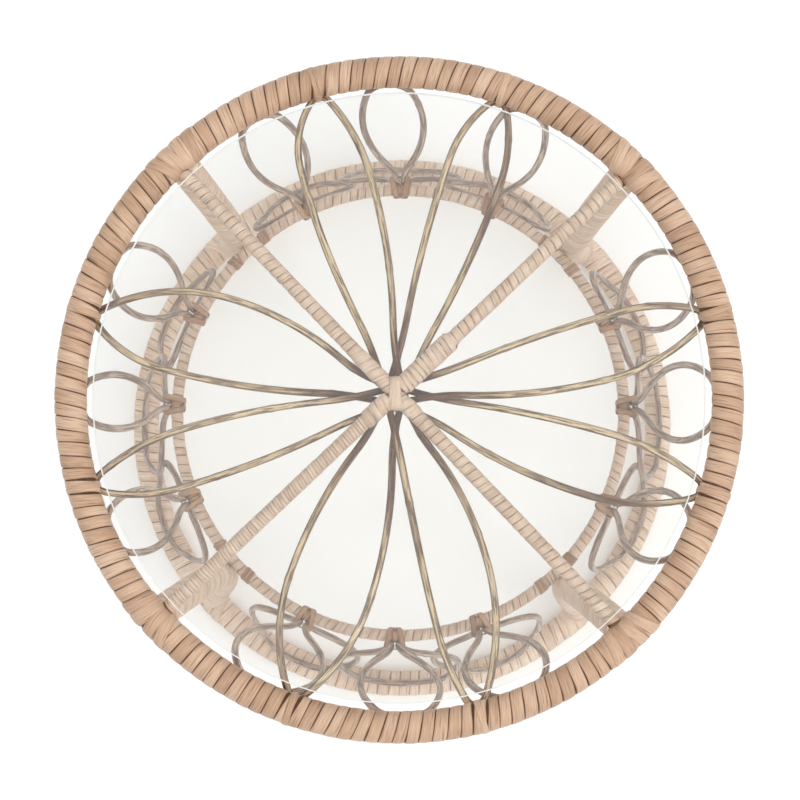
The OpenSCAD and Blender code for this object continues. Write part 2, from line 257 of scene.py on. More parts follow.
WHITE, BLACK = (255, 255, 255), (0, 0, 0)
FIBRE_SHADE = (186, 176, 166)
STREAK_SHADE = (132, 98, 72)
CANE_SHADE = (205, 200, 194)
# The noise fields of peel, in cycles a metre along the strip and across it
PEEL_FIBRES = (55, 2300, 1)
PEEL_STREAKS = (34, 900, 1)
PEEL_BLOTCHES = (70, 160, 1)
# The noise fields of cane, in cycles a metre along it and in the two directions across it
CANE_PATCHES = (16, 230, 230)
CANE_DASHES = (42, 620, 620)
CANE_FIBRES = (60, 2600, 2600)


def peel_material(name, dark, mid, light, edge, roughness=0.42):
    """Flat rattan peel: each turn has its own tone, fibres run along it and its edges are painted
    browner, as shade in the seams between turns.

    It reads two attributes: grain, which is the place along the strip, the place across it and the
    share of the way to its edge, and tone."""
    m = Shader(name)
    grain = m.node("ShaderNodeAttribute", attribute_name="grain").outputs["Vector"]
    tone = m.node("ShaderNodeAttribute", attribute_name="tone").outputs["Fac"]
    split = m.node("ShaderNodeSeparateXYZ")
    m.link(grain, split.inputs[0])
    fibres = m.noise(grain, PEEL_FIBRES, 3.0, 0.6)
    streaks = m.noise(grain, PEEL_STREAKS, 2.0, 0.55)
    blotches = m.noise(grain, PEEL_BLOTCHES, 2.0, 0.6)
    fac = m.math("ADD", m.math("MULTIPLY", tone, 0.62), m.math("MULTIPLY", blotches, 0.38))
    colour = m.ramp(fac, [(0.05, dark), (0.5, mid), (0.95, light)])
    colour = m.mix(0.6, colour, m.ramp(fibres, [(0.34, FIBRE_SHADE), (0.56, WHITE)]), "MULTIPLY")
    colour = m.mix(0.6, colour, m.ramp(streaks, [(0.3, STREAK_SHADE), (0.42, WHITE)]), "MULTIPLY")
    # Painted shade: each turn is darkened towards the edge colour near its edges, as shade in the seams
    # between turns
    seam_shade = m.math("POWER", m.math("ABSOLUTE", split.outputs[2]), 13.0, clamp=True)
    colour = m.mix(m.math("MULTIPLY", seam_shade, 0.75), colour, edge)
    m.link(colour, m.base.inputs["Base Color"])
    m.base.inputs["Roughness"].default_value = roughness
    m.base.inputs["Specular IOR Level"].default_value = 0.42
    m.bump(m.math("ADD", fibres, m.math("MULTIPLY", streaks, 0.8)), 0.18 * MM)
    return m.material


def cane_material(name, light, mid, dark, streak_and_flank_shade, amount, flanks):
    """A thin round cane: patches of tone, dark dashes along it and a soft sheen.

    amount says how many dashes there are, and flanks how dark the painted shade on its sides is. Its
    grain attribute is the place along the cane and the two places across it."""
    m = Shader(name)
    grain = m.node("ShaderNodeAttribute", attribute_name="grain").outputs["Vector"]
    tone = m.node("ShaderNodeAttribute", attribute_name="tone").outputs["Fac"]
    patches = m.noise(grain, CANE_PATCHES, 2.0, 0.5)
    dashes = m.noise(grain, CANE_DASHES, 3.0, 0.62)
    fibres = m.noise(grain, CANE_FIBRES, 2.0, 0.6)
    fac = m.math("ADD", m.math("MULTIPLY", patches, 0.75), m.math("MULTIPLY", tone, 0.3))
    colour = m.ramp(fac, [(0.3, dark), (0.5, mid), (0.72, light)])
    lines = m.ramp(dashes, [(0.5 - amount, WHITE), (0.59 - amount, BLACK)])
    colour = m.mix(m.math("MULTIPLY", lines, 0.85), colour, streak_and_flank_shade)
    colour = m.mix(0.5, colour, m.ramp(fibres, [(0.3, CANE_SHADE), (0.6, WHITE)]), "MULTIPLY")
    split = m.node("ShaderNodeSeparateXYZ")
    m.link(grain, split.inputs[0])
    # Painted shade: the cane's two sides, as seen from above, are darkened in the colour of its dashes, as
    # much as flanks says
    flank = m.math("MULTIPLY", m.math("ABSOLUTE", split.outputs[1]), 1 / CANE_R)
    rough_flank = m.math("MULTIPLY", m.math("ADD", flank, patches), 0.5)
    flank_shade = m.ramp(rough_flank, [(0.56, BLACK), (0.63, WHITE)])
    colour = m.mix(m.math("MULTIPLY", flank_shade, flanks), colour, streak_and_flank_shade)
    m.link(colour, m.base.inputs["Base Color"])
    m.base.inputs["Roughness"].default_value = 0.4
    m.base.inputs["Specular IOR Level"].default_value = 0.45
    m.bump(m.math("ADD", fibres, dashes), 0.22 * MM)
    return m.material


def plain_material(name, light, dark, scale, roughness, metallic=0.0):
    """A fastener's or a hidden pole's surface: two close colours, mixed by fine noise."""
    m = Shader(name)
    place = m.node("ShaderNodeTexCoord").outputs["Object"]
    fine = m.noise(place, scale, 4.0, 0.6)
    m.link(m.ramp(fine, [(0.3, dark), (0.7, light)]), m.base.inputs["Base Color"])
    m.base.inputs["Roughness"].default_value = roughness
    m.base.inputs["Metallic"].default_value = metallic
    m.bump(fine, 0.1 * MM)
    return m.material


def glass_material(name, tint, roughness, transmission):
    """Clear glass: seen through, with a mirror-like sheen, and letting light from lamps pass."""
    m = Shader(name)
    place = m.node("ShaderNodeTexCoord").outputs["Object"]
    faint = m.noise(place, (9, 9, 9))
    colour = m.ramp(faint, [(0.3, tint), (0.7, tuple(min(255, c + 3) for c in tint))])
    m.link(colour, m.base.inputs["Base Color"])
    m.base.inputs["Roughness"].default_value = roughness
    m.base.inputs["IOR"].default_value = 1.5
    m.base.inputs["Transmission Weight"].default_value = transmission
    lamp = m.node("ShaderNodeLightPath").outputs["Is Shadow Ray"]
    through = m.node("ShaderNodeBsdfTransparent")
    through.inputs["Color"].default_value = linear(tint)
    choice = m.node("ShaderNodeMixShader")
    m.link(lamp, choice.inputs[0])
    m.link(m.base.outputs["BSDF"], choice.inputs[1])
    m.link(through.outputs["BSDF"], choice.inputs[2])
    m.link(choice.outputs["Shader"], m.out.inputs["Surface"])
    return m.material


# Peel: its dark, middle and light tones, then the colour of its edges, painted darker as shade in the seams
# between turns
PEEL = peel_material("peel", (174, 139, 112), (202, 169, 142), (224, 196, 171), (112, 76, 52))
PEEL_PALE = peel_material(
    "peel_pale", (219, 190, 166), (237, 211, 189), (247, 228, 209), (182, 147, 119), roughness=0.55
)
PEEL_FINE = peel_material(
    "peel_fine", (196, 168, 147), (217, 191, 171), (232, 211, 194), (156, 122, 98), roughness=0.55
)
TIE = peel_material("tie_peel", (146, 108, 82), (180, 141, 112), (206, 172, 144), (84, 56, 40))
# Cane: its light, middle and dark tones, then the colour of its streaks, which also paints shade on its
# flanks as dark as flanks says; the petals' dark tone is also their painted shade at the hub
PETAL = cane_material(
    "olive_cane", (226, 204, 170), (206, 181, 147), (104, 70, 46), (76, 48, 32), amount=0.07, flanks=0.65
)
SIDE = cane_material(
    "side_cane", (220, 199, 183), (200, 178, 161), (170, 147, 131), (118, 94, 80), amount=0.05, flanks=0.3
)
# The rest: a light and a dark tone, the fineness of the noise, and roughness
POLE = plain_material("pole", (136, 98, 64), (92, 62, 40), (300, 300, 40), 0.6)
SHADED = plain_material("shaded_pole", (104, 68, 42), (62, 38, 24), (300, 300, 300), 0.7)
PALE_POLE = plain_material("pale_pole", (170, 134, 108), (138, 104, 82), (300, 300, 300), 0.7)
STEEL = plain_material("steel", (176, 176, 180), (128, 128, 132), (900, 900, 900), 0.35, metallic=1.0)
NYLON = plain_material("nylon", (226, 223, 214), (204, 200, 190), (700, 700, 700), 0.5)
GLASS = glass_material("glass", (240, 241, 239), roughness=0.0, transmission=1.0)
GLASS_EDGE = glass_material("glass_edge", (238, 242, 242), roughness=0.4, transmission=0.35)

# ---- Mesh builders --------------------------------------------------------------------------


def add_piece(name, verts, faces, materials, body="frame", grain=None, tone=None):
    """A smooth mesh object that rides on a body, with the attributes that its materials read."""
    mesh = bpy.data.meshes.new(name)
    mesh.from_pydata([tuple(v) for v in verts], [], [tuple(f) for f in faces])
    if grain is not None:
        layer = mesh.attributes.new("grain", "FLOAT_VECTOR", "POINT")
        layer.data.foreach_set("vector", np.asarray(grain, np.float32).ravel())
        layer = mesh.attributes.new("tone", "FLOAT", "POINT")
        layer.data.foreach_set("value", np.asarray(tone, np.float32).ravel())
    mesh.polygons.foreach_set("use_smooth", [True] * len(mesh.polygons))
    mesh.update()
    mesh.validate()
    obj = bpy.data.objects.new(name, mesh)
    bpy.context.scene.collection.objects.link(obj)
    for material in materials:
        mesh.materials.append(material)
    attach(obj, body)
    return obj


def grid_faces(rows, columns, wrap_rows=False, wrap_columns=False):
    """Quads of a grid of points laid out row by row, joined end to end where it wraps."""
    i = np.arange(rows if wrap_rows else rows - 1)
    j = np.arange(columns if wrap_columns else columns - 1)
    i, j = np.meshgrid(i, j, indexing="ij")
    i2, j2 = (i + 1) % rows, (j + 1) % columns
    quads = np.stack([i * columns + j, i2 * columns + j, i2 * columns + j2, i * columns + j2], -1)
    return quads.reshape(-1, 4).tolist()


class Parts:
    """Collects several shapes into one mesh. Each shape is (verts, faces, grain, tone)."""

    def __init__(self):
        self.verts, self.faces, self.grain, self.tone = [], [], [], []
        self.count = 0

    def add(self, verts, faces, grain, tone):
        self.faces += [[k + self.count for k in f] for f in faces]
        self.verts.append(verts)
        self.grain.append(grain)
        self.tone.append(tone)
        self.count += len(verts)

    def make(self, name, material, slot, *nodes):
        """Makes the mesh a piece of the frame that stands for those CAD nodes."""
        verts, grain, tone = np.vstack(self.verts), np.vstack(self.grain), np.concatenate(self.tone)
        piece = add_piece(name, verts, self.faces, [material], grain=grain, tone=tone)
        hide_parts(*nodes)


# Across a strip of peel, from its edge to its middle: the place, from -1, and the share of its height
HALF_PROFILE = [(-1, 0), (-0.97, 0.42), (-0.8, 0.72), (-0.42, 0.94)]
STRIP_PLACES, STRIP_HEIGHTS = np.array(
    HALF_PROFILE + [(0, 1)] + [(-place, height) for place, height in reversed(HALF_PROFILE)]
).T


def strip_grain(along, across):
    """The grain attribute of a strip laid out row by row, from places along it and across it."""
    shape = (len(along), len(STRIP_PLACES))
    columns = (along[:, None], across, STRIP_PLACES)
    return np.stack([np.broadcast_to(c, shape) for c in columns], -1).reshape(-1, 3)


def round_pole(route, s, angle, radius):
    """Points round a line: at distance s along it, turned by angle, radius away from it."""
    points, side, up = route.at(s)
    a = np.broadcast_to(angle[:, None], s.shape)[..., None]
    return (points + radius[..., None] * (np.cos(a) * side + np.sin(a) * up)).reshape(-1, 3)


def smooth_random(rng, count, places, periodic):
    """A random value from -1 to 1 for each of count steps, read smoothly at any place."""
    values = np.array([rng.uniform(-1, 1) for _ in range(count + 3)])
    if periodic:
        values[count:] = values[:3]
    low = np.floor(places).astype(int)
    t = ease(places - low)
    low = np.mod(low, count) if periodic else np.clip(low, 0, count + 1)
    return values[low] * (1 - t) + values[low + 1] * t


# How far the line between two turns strays, as a share of the pitch, how uneven its gap is, and
# how fast the gap changes, in radians a metre
LINE_WANDER, GAP_WANDER, GAP_WAVES = 0.13, 0.6, 977
# How uneven the thickness of a long winding and of a single turn is
WIND_BULGE, BAND_BULGE = 0.16, 0.1
NARROWEST_TURN = 1.2 * MM
# A widened winding comes down to its pole over this length at each end
SPREAD_TAPER = 3 * MM


def wind(
    route, start, stop, pitch, core_r, thick, seed, gap=0.5 * MM, lean=0.0, extra_gap=None,
    per_turn=26, crown=0.6, spread=0.0,
):
    """Peel wound round a pole in one long strip: (verts, faces, grain, tone).

    lean slants the turns to and fro by that much, extra_gap(s, angle) opens the turns out, crown
    is how far a turn's flanks fall away, and spread widens the winding sideways only."""
    closed = route.closed and stop - start >= route.length * 0.999
    turns = max(2, round((stop - start) / pitch))
    pitch = (stop - start) / turns
    n = turns * per_turn + 1
    u = np.arange(n) / per_turn
    angle = 2 * math.pi * u
    wander = random.Random(seed + 1)
    shifts = [wander.uniform(-1, 1) for _ in range(turns)]

    def edge(at):
        """How far along the pole the line between two turns lies, at turn number at."""
        k = np.floor(at).astype(int)
        t = at - k
        a, b = (np.take(shifts, np.mod(k + d, turns)) for d in (0, 1))
        return start + pitch * (at + LINE_WANDER * (a * (1 - t) + b * t))

    leans = max(3, turns // 7)
    slant = lean * smooth_random(random.Random(seed + 2), leans, u / turns * leans, closed)
    before, after = edge(u - 0.5), edge(u + 0.5)
    gaps = []
    for line in (before, after):
        g = gap * (1 + GAP_WANDER * np.sin(line * GAP_WAVES + seed))
        if extra_gap is not None:
            g = g + extra_gap(line, angle)
        gaps.append(g)
    left, right = before + gaps[0] / 2, after - gaps[1] / 2
    right = np.maximum(right, left + NARROWEST_TURN)
    bulge = 1 + WIND_BULGE * smooth_random(random.Random(seed), turns, u, closed)
    tone = 0.5 + 0.5 * smooth_random(random.Random(seed + 3), turns * 2, u * 2, closed)
    heights = np.where(STRIP_HEIGHTS > 0, 1 - (1 - STRIP_HEIGHTS) * crown, 0)
    across = (right - left)[:, None] / 2 * STRIP_PLACES
    s = (left + right)[:, None] / 2 + across + (slant * np.cos(angle))[:, None]
    taper = ease((s - start) / SPREAD_TAPER) * ease((stop - s) / SPREAD_TAPER)
    widening = spread * taper * np.cos(angle)[:, None] ** 2
    verts = round_pole(route, s, angle, core_r + widening + thick * bulge[:, None] * heights)
    faces = grid_faces(n, len(STRIP_PLACES))
    return verts, faces, strip_grain(angle * core_r, across), np.repeat(tone, len(STRIP_PLACES))


def band(route, s0, width, slant, core_r, thick, tone, seed, steps=36, along0=0.0):
    """One turn of peel round a pole, slanted to and fro by slant: (verts, faces, grain, tone)."""
    phase = random.Random(seed).uniform(0, 6)
    angle = np.linspace(0, 2 * math.pi, steps + 1)
    across = width / 2 * STRIP_PLACES
    s = s0 + slant * np.cos(angle)[:, None] + across
    wave = 1 + BAND_BULGE * np.sin(angle * 2 + phase)[:, None]
    verts = round_pole(route, s, angle, core_r + thick * wave * STRIP_HEIGHTS)
    faces = grid_faces(len(angle), len(STRIP_PLACES))
    return verts, faces, strip_grain(along0 + angle * core_r, across), np.full(s.size, tone)


def ribbon(path, width, thick, middle, axis, tone, along0=0.0):
    """A strip of peel on a closed path round middle, its width along axis: (verts, faces, grain, tone)."""
    p = np.array(path, float)
    axis = unit(np.array(axis, float))
    tangent = unit(np.roll(p, -1, axis=0) - np.roll(p, 1, axis=0))
    out = unit(np.cross(tangent, axis))
    out = np.where((np.sum(out * (p - np.array(middle)), axis=1) < 0)[:, None], -out, out)
    lengths = np.concatenate([[0], np.cumsum(np.linalg.norm(np.diff(p, axis=0), axis=1))])
    across = width / 2 * STRIP_PLACES
    verts = p[:, None, :] + across[:, None] * axis + (thick * STRIP_HEIGHTS)[:, None] * out[:, None, :]
    faces = grid_faces(len(p), len(STRIP_PLACES), wrap_rows=True)
    tones = np.full(len(p) * len(STRIP_PLACES), tone)
    return verts.reshape(-1, 3), faces, strip_grain(along0 + lengths, across), tones


# A cane's knuckles: how far apart, the ridge's height, as a share of the radius, and width, and the
# dip beyond it
KNUCKLE_STEP = 135 * MM
RIDGE, RIDGE_W = 0.13, 1.9 * MM
DIP, DIP_W, DIP_AWAY = 0.05, 1.6 * MM, 3.4 * MM
# How far apart the grain of two canes lies in the noise fields, in metres
GRAIN_SHIFT = 1.7


def knuckle_swell(s, length, rng):
    """How much a cane swells at its knuckles, as a share of its radius, at distances s along it."""
    swell = np.zeros_like(s)
    place = rng.uniform(0, KNUCKLE_STEP)
    while place < length:
        swell += RIDGE * np.exp(-(((s - place) / RIDGE_W) ** 2))
        swell -= DIP * np.exp(-(((s - place - DIP_AWAY) / DIP_W) ** 2))
        place += KNUCKLE_STEP * rng.uniform(0.75, 1.2)
    return swell


def cane(route, radius, seed, step=5 * MM, sides=14, painted_shade=None):
    """A round cane along a closed route, with knuckles, a slight wander and an uneven surface.

    Where a shade function is given, it takes the points and is 1 where the cane has its own tone
    and 0 where it is painted at its darkest, as shade."""
    rng = random.Random(seed)
    s = np.linspace(0, route.length, int(route.length / step) + 1)
    points, side, up = route.at(s)
    waves = [
        (rng.uniform(0, 6.28), rng.choice([3, 4, 5, 7]), rng.uniform(0.15, 0.3) * MM) for _ in range(4)
    ]
    turn = 2 * math.pi * s / route.length
    for k, (phase, cycles, size) in enumerate(waves):
        offset = (size * np.sin(cycles * turn + phase))[:, None]
        points = points + offset * (side if k % 2 else up)
    swell = knuckle_swell(s, route.length, rng)
    body = radius * (0.97 + 0.035 * np.sin(5 * turn + waves[0][0]) + swell)
    angle = 2 * math.pi * np.arange(sides) / sides
    x, y = np.cos(angle), np.sin(angle)
    ring = x[:, None] * side[:, None, :] + y[:, None] * up[:, None, :]
    oval = 1 + 0.04 * np.cos(2 * angle + waves[1][0])
    verts = points[:, None, :] + (body[:, None] * oval)[..., None] * ring
    columns = (s[:, None] + seed * GRAIN_SHIFT, radius * x, radius * y)
    grain = np.stack([np.broadcast_to(c, verts.shape[:2]) for c in columns], -1)
    tone = 0.5 + 0.5 * smooth_random(rng, 9, s / route.length * 9, True)
    # Painted shade: the tone is pulled down to the darkest where the shade function gives 0
    if painted_shade is not None:
        tone = (tone + 0.5) * painted_shade(points) - 0.5
    faces = grid_faces(len(s), sides, wrap_columns=True)
    return verts.reshape(-1, 3), faces, grain.reshape(-1, 3), np.repeat(tone, sides)


# ---- Routes ---------------------------------------------------------------------------------


def ring_route(radius, z, steps=720):
    """A level ring's centreline."""
    return Route([spot(360 * k / steps, radius, z) for k in range(steps)], closed=True)


# The legs' arc: the height of its middle, its half rise, its bow, its radius and its half angle
MID_Z = (TOP_Z + FOOT_Z) / 2
RISE = (TOP_Z - FOOT_Z) / 2
BOW = RING_R - LEG_WAIST_R
BEND_R = (RISE**2 + BOW**2) / (2 * BOW)
LEAN = math.asin(RISE / BEND_R)


def leg_route(azimuth, steps=120):
    """A leg's bowed centreline, from the bottom ring up to the top ring."""
    points = []
    for k in range(steps + 1):
        t = LEAN * (2 * k / steps - 1)
        radius = LEG_WAIST_R + BEND_R * (1 - math.cos(t))
        points.append(spot(azimuth, radius, MID_Z + BEND_R * math.sin(t)))
    return Route(points, aim=spot(azimuth + 90, 1.0))


def lobe_side(length, neck, y0, widest, half_w, end_r, flare=0.3, steps=12):
    """One side of a loop's lobe: out from the neck, round a long belly, a shoulder and an end."""
    turn = 2 * math.atan((half_w - y0) / (widest - neck))
    both_r = (widest - neck) / math.sin(turn)
    flare_r = flare * both_r
    belly_r = both_r - flare_r
    run = length - end_r - widest
    shoulder_r = (run**2 + half_w**2 - end_r**2) / (2 * (half_w - end_r))
    shoulder = math.atan2(run, shoulder_r - half_w)
    out = []
    for i in range(steps + 1):
        t = turn * i / steps
        out.append((neck + flare_r * math.sin(t), y0 + flare_r * (1 - math.cos(t))))
    for i in range(1, steps + 1):
        t = turn * (1 - i / steps)
        out.append((widest - belly_r * math.sin(t), half_w - belly_r * (1 - math.cos(t))))
    for i in range(1, steps + 1):
        t = shoulder * i / steps
        out.append((widest + shoulder_r * math.sin(t), half_w - shoulder_r * (1 - math.cos(t))))
    for i in range(1, steps):
        t = shoulder + (math.pi / 2 - shoulder) * i / steps
        out.append((length - end_r + end_r * math.sin(t), end_r * math.cos(t)))
    return out


def lobe(left, right, length):
    """A whole lobe: up its left side, round the end and back down its right side."""
    return left + [(length, 0.0)] + [(x, -y) for x, y in reversed(right)]


# A cane that lies against a ring or leg keeps its centreline this far from the pole's
TIP_REACH = POLE_R + CANE_R + FIT
STRAP_T = 0.6 * MM
# Petals: where they start, the half gap of each loop there, and the rise from the hub to the ring
PETAL_START, PETAL_GAP = 6 * MM, 8 * MM
RISE_FROM, RISE_LENGTH = 60 * MM, 180 * MM
PETAL_TIP_R = 9 * MM
PETAL_LEN = RING_R - 9 * MM
PETAL_TIP_Z = TOP_Z - math.sqrt(TIP_REACH**2 - (RING_R - PETAL_LEN) ** 2)
LAYER_STEP = 2 * CANE_R + 2 * FIT
LAYER_TOP = TOP_Z - CROSS_R - STRAP_T - CANE_R - FIT


def petal_points(petal, layer_z):
    """A petal's centreline, from the hub out and back."""
    tip = spot(petal[0], PETAL_LEN)
    hub = HUB * [1, 1, 0]
    reach = np.linalg.norm(tip - hub)
    u = (tip - hub) / reach
    w = np.array([-u[1], u[0], 0])
    _, left_w, left_at, right_w, right_at = petal
    left = lobe_side(reach, PETAL_START, PETAL_GAP, left_at * MM, left_w * MM, PETAL_TIP_R)
    right = lobe_side(reach, PETAL_START, PETAL_GAP, right_at * MM, right_w * MM, PETAL_TIP_R)
    out = []
    for x, y in lobe(left, right, reach):
        z = layer_z + (PETAL_TIP_Z - layer_z) * float(ease((x - RISE_FROM) / RISE_LENGTH))
        out.append(hub + x * u + y * w + [0, 0, z])
    return out


# Side loops at the waist: their distance from the table's axis, and half the gap between canes
NECK_R = WAIST_R + WAIST_TUBE + CANE_R + FIT
NECK_GAP = CANE_R + FIT


def tip_place(angle, z, way):
    """(radius, height) of a side loop's end against a ring, angle in from straight up or down."""
    a = math.radians(angle)
    return RING_R - TIP_REACH * math.sin(a), z + way * TIP_REACH * math.cos(a)


UPPER_TIP = tip_place(20, TOP_Z, -1)
LOWER_TIP = tip_place(3, FOOT_Z, 1)
# Where an upper and a lower lobe are widest, as a share of their length
UPPER_WIDEST, LOWER_WIDEST = 0.64, 0.55
LOBE_START = 5 * MM
LOBE_BEND = 24 * MM
# Over how long a lobe comes out to lap over its neighbours, and goes back in at its end
LAP_OUT, LAP_IN = 50 * MM, 35 * MM


def side_points(waist_az, tip_az, half_w, tip, widest, lap):
    """Centreline of one lobe of a side loop, standing on the waist ring."""
    rise, run = tip[1] - WAIST_Z, tip[0] - NECK_R
    length = math.hypot(rise, run)
    slope = run / (length - LOBE_BEND / 2)
    side = lobe_side(length, LOBE_START, NECK_GAP, widest * length, half_w, 0.75 * half_w)
    out = []
    for s, y in lobe(side, side, length):
        r = NECK_R + slope * (s * s / (2 * LOBE_BEND) if s < LOBE_BEND else s - LOBE_BEND / 2)
        a = waist_az + (tip_az - waist_az) * s / length + math.degrees(y / r)
        r += lap * float(ease(s / LAP_OUT) * ease((length - s) / LAP_IN))
        out.append(spot(a, r, WAIST_Z + rise * s / length))
    return out


# ---- Rings, legs and cross poles ------------------------------------------------------------


def near(s, place, length, reach):
    """1 at a place along a closed line, falling to 0 at reach on each side."""
    away = np.abs(np.mod(s - place + length / 2, length) - length / 2)
    return 1 - ease(away / reach)


top_route = ring_route(RING_R, TOP_Z)
foot_route = ring_route(RING_R, FOOT_Z)
waist_route = ring_route(WAIST_R, WAIST_Z)
PETAL_AZ = [petal[0] for loop in TOP_LOOPS for petal in loop]


def inner_side(angle):
    """1 where a ring's surface faces the table's axis, falling to 0 at its top and bottom."""
    return np.clip(-np.cos(angle), 0, 1)


def openings(s, angle, azimuths, width, focus):
    """How far a ring's turns part where poles come in at those azimuths, on its inner side only.

    The higher focus is, the less of the inner side opens."""
    out = np.zeros_like(s)
    for azimuth in azimuths:
        out += width * near(s, math.radians(azimuth) * RING_R, top_route.length, 9 * MM)
    return out * inner_side(angle) ** focus


def top_openings(s, angle):
    """Where the top ring's turns part: on each side of a petal's end, and at each cross pole."""
    out = np.zeros_like(s)
    for azimuth in PETAL_AZ:
        for off in (-5.5 * MM, 5.5 * MM):
            out += 2.6 * MM * near(s, math.radians(azimuth) * RING_R + off, top_route.length, 5 * MM)
    return out * (0.25 + 0.75 * inner_side(angle) ** 0.7) + openings(s, angle, CROSS_AZ, 5.5 * MM, 2.1)


def foot_openings(s, angle):
    """Where the bottom ring's turns part over each leg."""
    return openings(s, angle, LEG_AZ, 4 * MM, 3)


def wound(name, material, node, route, *args, **settings):
    """A piece of wound peel that stands for a CAD sleeve."""
    peel = Parts()
    peel.add(*wind(route, *args, **settings))
    peel.make(name, material, "cane_peel", node)


WRAP_T = POLE_R - CORE_R
WAIST_WRAP_T = WAIST_TUBE - WAIST_CORE_R
RING_PITCH, RING_LEAN = 11.2 * MM, 2.2 * MM
WAIST_PITCH = 8.5 * MM
LEG_PITCH = 6.4 * MM
# The legs' windings stop this far short of the rings' centrelines
LEG_TRIM = 5 * MM

wound(
    "top_ring_peel", PEEL, "top_ring_wrap", top_route, 0, top_route.length, RING_PITCH, CORE_R, WRAP_T, 11,
    lean=RING_LEAN, extra_gap=top_openings,
)
wound(
    "bottom_ring_peel", PEEL_PALE, "bottom_ring_wrap", foot_route, 0, foot_route.length, RING_PITCH, CORE_R,
    WRAP_T, 23, lean=RING_LEAN, extra_gap=foot_openings,
)
wound(
    "waist_ring_peel", PEEL_FINE, "waist_ring_wrap", waist_route, 0, waist_route.length, WAIST_PITCH,
    WAIST_CORE_R, WAIST_WRAP_T, 31, gap=0.35 * MM, lean=1 * MM, per_turn=16,
)
for i, azimuth in enumerate(LEG_AZ):
    route = leg_route(azimuth)
    wound(
        f"leg_peel_{i + 1}", PEEL_PALE, f"leg_wrap_{i + 1}", route, LEG_TRIM, route.length - LEG_TRIM,
        LEG_PITCH, CORE_R, WRAP_T, 41 + 10 * i, gap=0.3 * MM, lean=1 * MM, crown=0.5,
    )

CROSS_T = CROSS_R - CROSS_CORE_R
CROSS_PITCH, FINE_PITCH = 7.4 * MM, 3.1 * MM
# How far a second layer of peel stands out from the first
LAYER_LIFT = 0.4 * MM


def cross_peel(name, node, start, end, runs, seed):
    """A cross pole's peel, from one point to another, in runs of (from, to, pitch, lift, spread)."""
    route = Route([start, (start + end) / 2, end])
    peel = Parts()
    for k, (low, high, pitch, lift, spread) in enumerate(runs):
        turns = wind(
            route, low, high, pitch, CROSS_CORE_R + lift, CROSS_T, seed + 10 * k, gap=0.3 * MM,
            lean=0.8 * MM, per_turn=18, crown=0.3, spread=spread,
        )
        peel.add(*turns)
    peel.make(name, PEEL_FINE, "cane_peel", node)


ring_in = POLE_R + 0.5 * MM
long_len = float(np.linalg.norm(CROSS_ENDS[3] - CROSS_ENDS[1]))
long_hub = float(np.linalg.norm(HUB - CROSS_ENDS[1]))
long_runs = [
    (ring_in, long_hub, CROSS_PITCH, 0, 0),
    (long_hub, long_len - ring_in, CROSS_PITCH, 0, 0),
    (long_hub - 46 * MM, long_hub - 14 * MM, 10 * MM, LAYER_LIFT, 0.5 * MM),
    (long_hub + 12 * MM, long_hub + 27 * MM, 9 * MM, LAYER_LIFT, 0.6 * MM),
]
cross_peel("long_cross_peel", "long_cross_wrap", CROSS_ENDS[1], CROSS_ENDS[3], long_runs, 301)

# Half cross poles: their end, their turns' pitch, and their second layer at the hub: its length,
# its turns' pitch and how far it widens the pole
for i, (end, pitch, layer_len, layer_pitch, spread, seed) in enumerate(
    (
        (CROSS_ENDS[0], CROSS_PITCH, 62 * MM, 5.2 * MM, 2.2 * MM, 408),
        (CROSS_ENDS[2], FINE_PITCH, 30 * MM, 7 * MM, 1.2 * MM, 404),
    )
):
    reach = float(np.linalg.norm(end - HUB))
    half_runs = [
        (0, reach - CROSS_R - ring_in, pitch, 0, 0),
        (1 * MM, layer_len, layer_pitch, LAYER_LIFT, spread),
    ]
    start = HUB + unit(end - HUB) * (CROSS_R + 0.3 * MM)
    cross_peel(f"half_cross_peel_{i + 1}", f"half_cross_wrap_{i + 1}", start, end, half_runs, seed)

# ---- Loops of cane --------------------------------------------------------------------------


def painted_hub_shade(points):
    """The petals are painted darkest where they bunch at the hub, as shade among the stacked canes."""
    return ease((np.linalg.norm((points - HUB)[:, :2], axis=1) - 12 * MM) / (75 * MM))


for i, loop in enumerate(TOP_LOOPS):
    z = LAYER_TOP - i * LAYER_STEP
    route = Route(petal_points(loop[0], z) + petal_points(loop[1], z), closed=True)
    parts = Parts()
    parts.add(*cane(route, CANE_R, 501 + i, painted_shade=painted_hub_shade))
    parts.make(f"top_cane_{i + 1}", PETAL, "olive_cane", f"top_loop_{i + 1}")

# How far a lower lobe's cane comes out, or goes in, where it laps over or under another
LAP = CANE_R + 0.4 * MM
for i, (waist_az, top_az, low_az, upper_w, lower_w, over) in enumerate(SIDE_LOOPS):
    upper = side_points(waist_az, top_az, upper_w * MM, UPPER_TIP, UPPER_WIDEST, 0.0)
    lower = side_points(waist_az, low_az, lower_w * MM, LOWER_TIP, LOWER_WIDEST, over * LAP)
    route = Route(upper + lower[::-1], aim=spot(waist_az, 1.0), closed=True)
    parts = Parts()
    parts.add(*cane(route, CANE_R, 601 + i))
    parts.make(f"side_cane_{i + 1:02d}", SIDE, "cane", f"side_loop_{i + 1:02d}")

# ---- Bindings -------------------------------------------------------------------------------


def rounded_path(x0, x1, z0, z1, r, place, steps=6):
    """A closed path round a box with round corners; place(x, z) gives each point."""
    corners = ((x1 - r, z1 - r, 0), (x0 + r, z1 - r, 90), (x0 + r, z0 + r, 180), (x1 - r, z0 + r, 270))
    out = []
    for cx, cz, start in corners:
        for k in range(steps + 1):
            a = math.radians(start + 90 * k / steps)
            out.append(place(cx + r * math.cos(a), cz + r * math.sin(a)))
    return out


# A crossed lashing's turns lie this far to each side, outside the canes and behind the waist ring
LASH_OUT, LASH_IN = 8 * MM, 5 * MM
LASH_W, LASH_T = 5.4 * MM, 0.9 * MM


